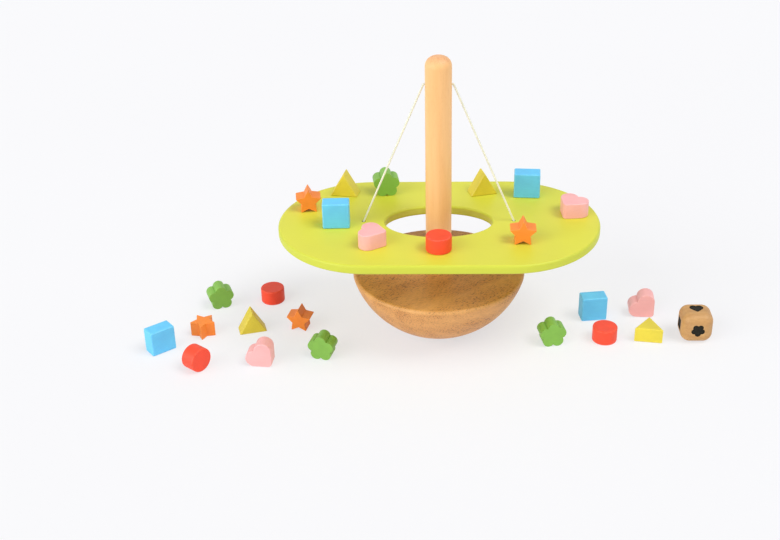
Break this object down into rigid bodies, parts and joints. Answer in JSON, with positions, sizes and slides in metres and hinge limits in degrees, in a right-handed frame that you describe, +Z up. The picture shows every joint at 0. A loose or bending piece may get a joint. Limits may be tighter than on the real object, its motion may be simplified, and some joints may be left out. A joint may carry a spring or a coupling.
{
  "type": "balancing boat game",
  "caption": "Wooden balancing game: a tray slung on a cord from a mast on a rocking half-ball base, with painted shape blocks to load on it and a die.",
  "frame": {"origin": "centre of the base's flat foot, on the floor under the mast's axis", "axes": "+X along the tray, +Y away from the viewer across the tray, +Z up along the mast"},
  "size_m": [0.5384, 0.1779, 0.275],
  "materials": {
    "base_wood": "clear satin",
    "mast_wood": "clear satin",
    "tray_paint": "satin lime-green paint",
    "cord": "twisted, undyed",
    "orange_paint": "satin paint",
    "yellow_paint": "satin paint",
    "green_paint": "satin paint",
    "blue_paint": "satin paint",
    "pink_paint": "satin paint",
    "red_paint": "satin paint",
    "die_wood": "bare, black marks"
  },
  "bodies": {
    "stand": {"rocker_base": "base_wood", "mast": "mast_wood"},
    "cord_bridge": {"cord_bridge": "cord"},
    "cord_left": {"cord_left": "cord"},
    "cord_right": {"cord_right": "cord"},
    "left_knot": {"left_knot": "cord"},
    "tray": {"tray": "tray_paint", "right_knot": "cord"},
    "star_1": {"star_1": "orange_paint"},
    "star_2": {"star_2": "orange_paint"},
    "triangle_1": {"triangle_1": "yellow_paint"},
    "triangle_2": {"triangle_2": "yellow_paint"},
    "flower_1": {"flower_1": "green_paint"},
    "square_1": {"square_1": "blue_paint"},
    "square_2": {"square_2": "blue_paint"},
    "heart_1": {"heart_1": "pink_paint"},
    "heart_2": {"heart_2": "pink_paint"},
    "cylinder_1": {"cylinder_1": "red_paint"},
    "star_3": {"star_3": "orange_paint"},
    "star_4": {"star_4": "orange_paint"},
    "triangle_3": {"triangle_3": "yellow_paint"},
    "triangle_4": {"triangle_4": "yellow_paint"},
    "flower_2": {"flower_2": "green_paint"},
    "flower_3": {"flower_3": "green_paint"},
    "flower_4": {"flower_4": "green_paint"},
    "square_3": {"square_3": "blue_paint"},
    "square_4": {"square_4": "blue_paint"},
    "heart_3": {"heart_3": "pink_paint"},
    "heart_4": {"heart_4": "pink_paint"},
    "cylinder_2": {"cylinder_2": "red_paint"},
    "cylinder_3": {"cylinder_3": "red_paint"},
    "cylinder_4": {"cylinder_4": "red_paint"},
    "die": {"die": "die_wood"}
  },
  "joints": [
    {"name": "sling_swing", "type": "hinge", "parent": "stand", "child": "cord_bridge", "pos_m": [0, 0, 0.249], "axis": [1, 0, 0], "range_deg": [-3, 3]},
    {"name": "left_leg_swing", "type": "hinge", "parent": "cord_bridge", "child": "cord_left", "pos_m": [-0.0135, 0, 0.249], "axis": [0, 1, 0], "range_deg": [-10, 10]},
    {"name": "right_leg_swing", "type": "hinge", "parent": "cord_bridge", "child": "cord_right", "pos_m": [0.0135, 0, 0.249], "axis": [0, 1, 0], "range_deg": [-10, 10]},
    {"name": "tray_tilt", "type": "hinge", "parent": "cord_left", "child": "left_knot", "pos_m": [-0.07, 0, 0.114], "axis": [1, 0, 0], "range_deg": [-15, 15]},
    {"name": "tray_rock", "type": "hinge", "parent": "left_knot", "child": "tray", "pos_m": [-0.07, 0, 0.114], "axis": [0, 1, 0], "range_deg": [-2, 2]},
    {"name": "star_1_lift", "type": "slide", "parent": "tray", "child": "star_1", "axis": [0, 0, 1], "range_m": [0, 0.04]},
    {"name": "star_2_lift", "type": "slide", "parent": "tray", "child": "star_2", "axis": [0, 0, 1], "range_m": [0, 0.04]},
    {"name": "triangle_1_lift", "type": "slide", "parent": "tray", "child": "triangle_1", "axis": [0, 0, 1], "range_m": [0, 0.04]},
    {"name": "triangle_2_lift", "type": "slide", "parent": "tray", "child": "triangle_2", "axis": [0, 0, 1], "range_m": [0, 0.04]},
    {"name": "flower_1_lift", "type": "slide", "parent": "tray", "child": "flower_1", "axis": [0, 0, 1], "range_m": [0, 0.04]},
    {"name": "square_1_lift", "type": "slide", "parent": "tray", "child": "square_1", "axis": [0, 0, 1], "range_m": [0, 0.04]},
    {"name": "square_2_lift", "type": "slide", "parent": "tray", "child": "square_2", "axis": [0, 0, 1], "range_m": [0, 0.04]},
    {"name": "heart_1_lift", "type": "slide", "parent": "tray", "child": "heart_1", "axis": [0, 0, 1], "range_m": [0, 0.04]},
    {"name": "heart_2_lift", "type": "slide", "parent": "tray", "child": "heart_2", "axis": [0, 0, 1], "range_m": [0, 0.04]},
    {"name": "cylinder_1_lift", "type": "slide", "parent": "tray", "child": "cylinder_1", "axis": [0, 0, 1], "range_m": [0, 0.04]},
    {"name": "star_3_lift", "type": "slide", "parent": "stand", "child": "star_3", "axis": [0, 0, 1], "range_m": [0, 0.025]},
    {"name": "star_4_lift", "type": "slide", "parent": "stand", "child": "star_4", "axis": [0, 0, 1], "range_m": [0, 0.025]},
    {"name": "triangle_3_lift", "type": "slide", "parent": "stand", "child": "triangle_3", "axis": [0, 0, 1], "range_m": [0, 0.025]},
    {"name": "triangle_4_lift", "type": "slide", "parent": "stand", "child": "triangle_4", "axis": [0, 0, 1], "range_m": [0, 0.025]},
    {"name": "flower_2_lift", "type": "slide", "parent": "stand", "child": "flower_2", "axis": [0, 0, 1], "range_m": [0, 0.025]},
    {"name": "flower_3_lift", "type": "slide", "parent": "stand", "child": "flower_3", "axis": [0, 0, 1], "range_m": [0, 0.025]},
    {"name": "flower_4_lift", "type": "slide", "parent": "stand", "child": "flower_4", "axis": [0, 0, 1], "range_m": [0, 0.025]},
    {"name": "square_3_lift", "type": "slide", "parent": "stand", "child": "square_3", "axis": [0, 0, 1], "range_m": [0, 0.025]},
    {"name": "square_4_lift", "type": "slide", "parent": "stand", "child": "square_4", "axis": [0, 0, 1], "range_m": [0, 0.025]},
    {"name": "heart_3_lift", "type": "slide", "parent": "stand", "child": "heart_3", "axis": [0, 0, 1], "range_m": [0, 0.025]},
    {"name": "heart_4_lift", "type": "slide", "parent": "stand", "child": "heart_4", "axis": [0, 0, 1], "range_m": [0, 0.025]},
    {"name": "cylinder_2_lift", "type": "slide", "parent": "stand", "child": "cylinder_2", "axis": [0, 0, 1], "range_m": [0, 0.025]},
    {"name": "cylinder_3_lift", "type": "slide", "parent": "stand", "child": "cylinder_3", "axis": [0, 0, 1], "range_m": [0, 0.025]},
    {"name": "cylinder_4_lift", "type": "slide", "parent": "stand", "child": "cylinder_4", "axis": [0, 0, 1], "range_m": [0, 0.025]},
    {"name": "die_lift", "type": "slide", "parent": "stand", "child": "die", "axis": [0, 0, 1], "range_m": [0, 0.025]}
  ],
  "couplings": [
    {"joint": "right_leg_swing", "follows": "left_leg_swing", "ratio": 1},
    {"joint": "tray_rock", "follows": "left_leg_swing", "ratio": -0.19286}
  ]
}
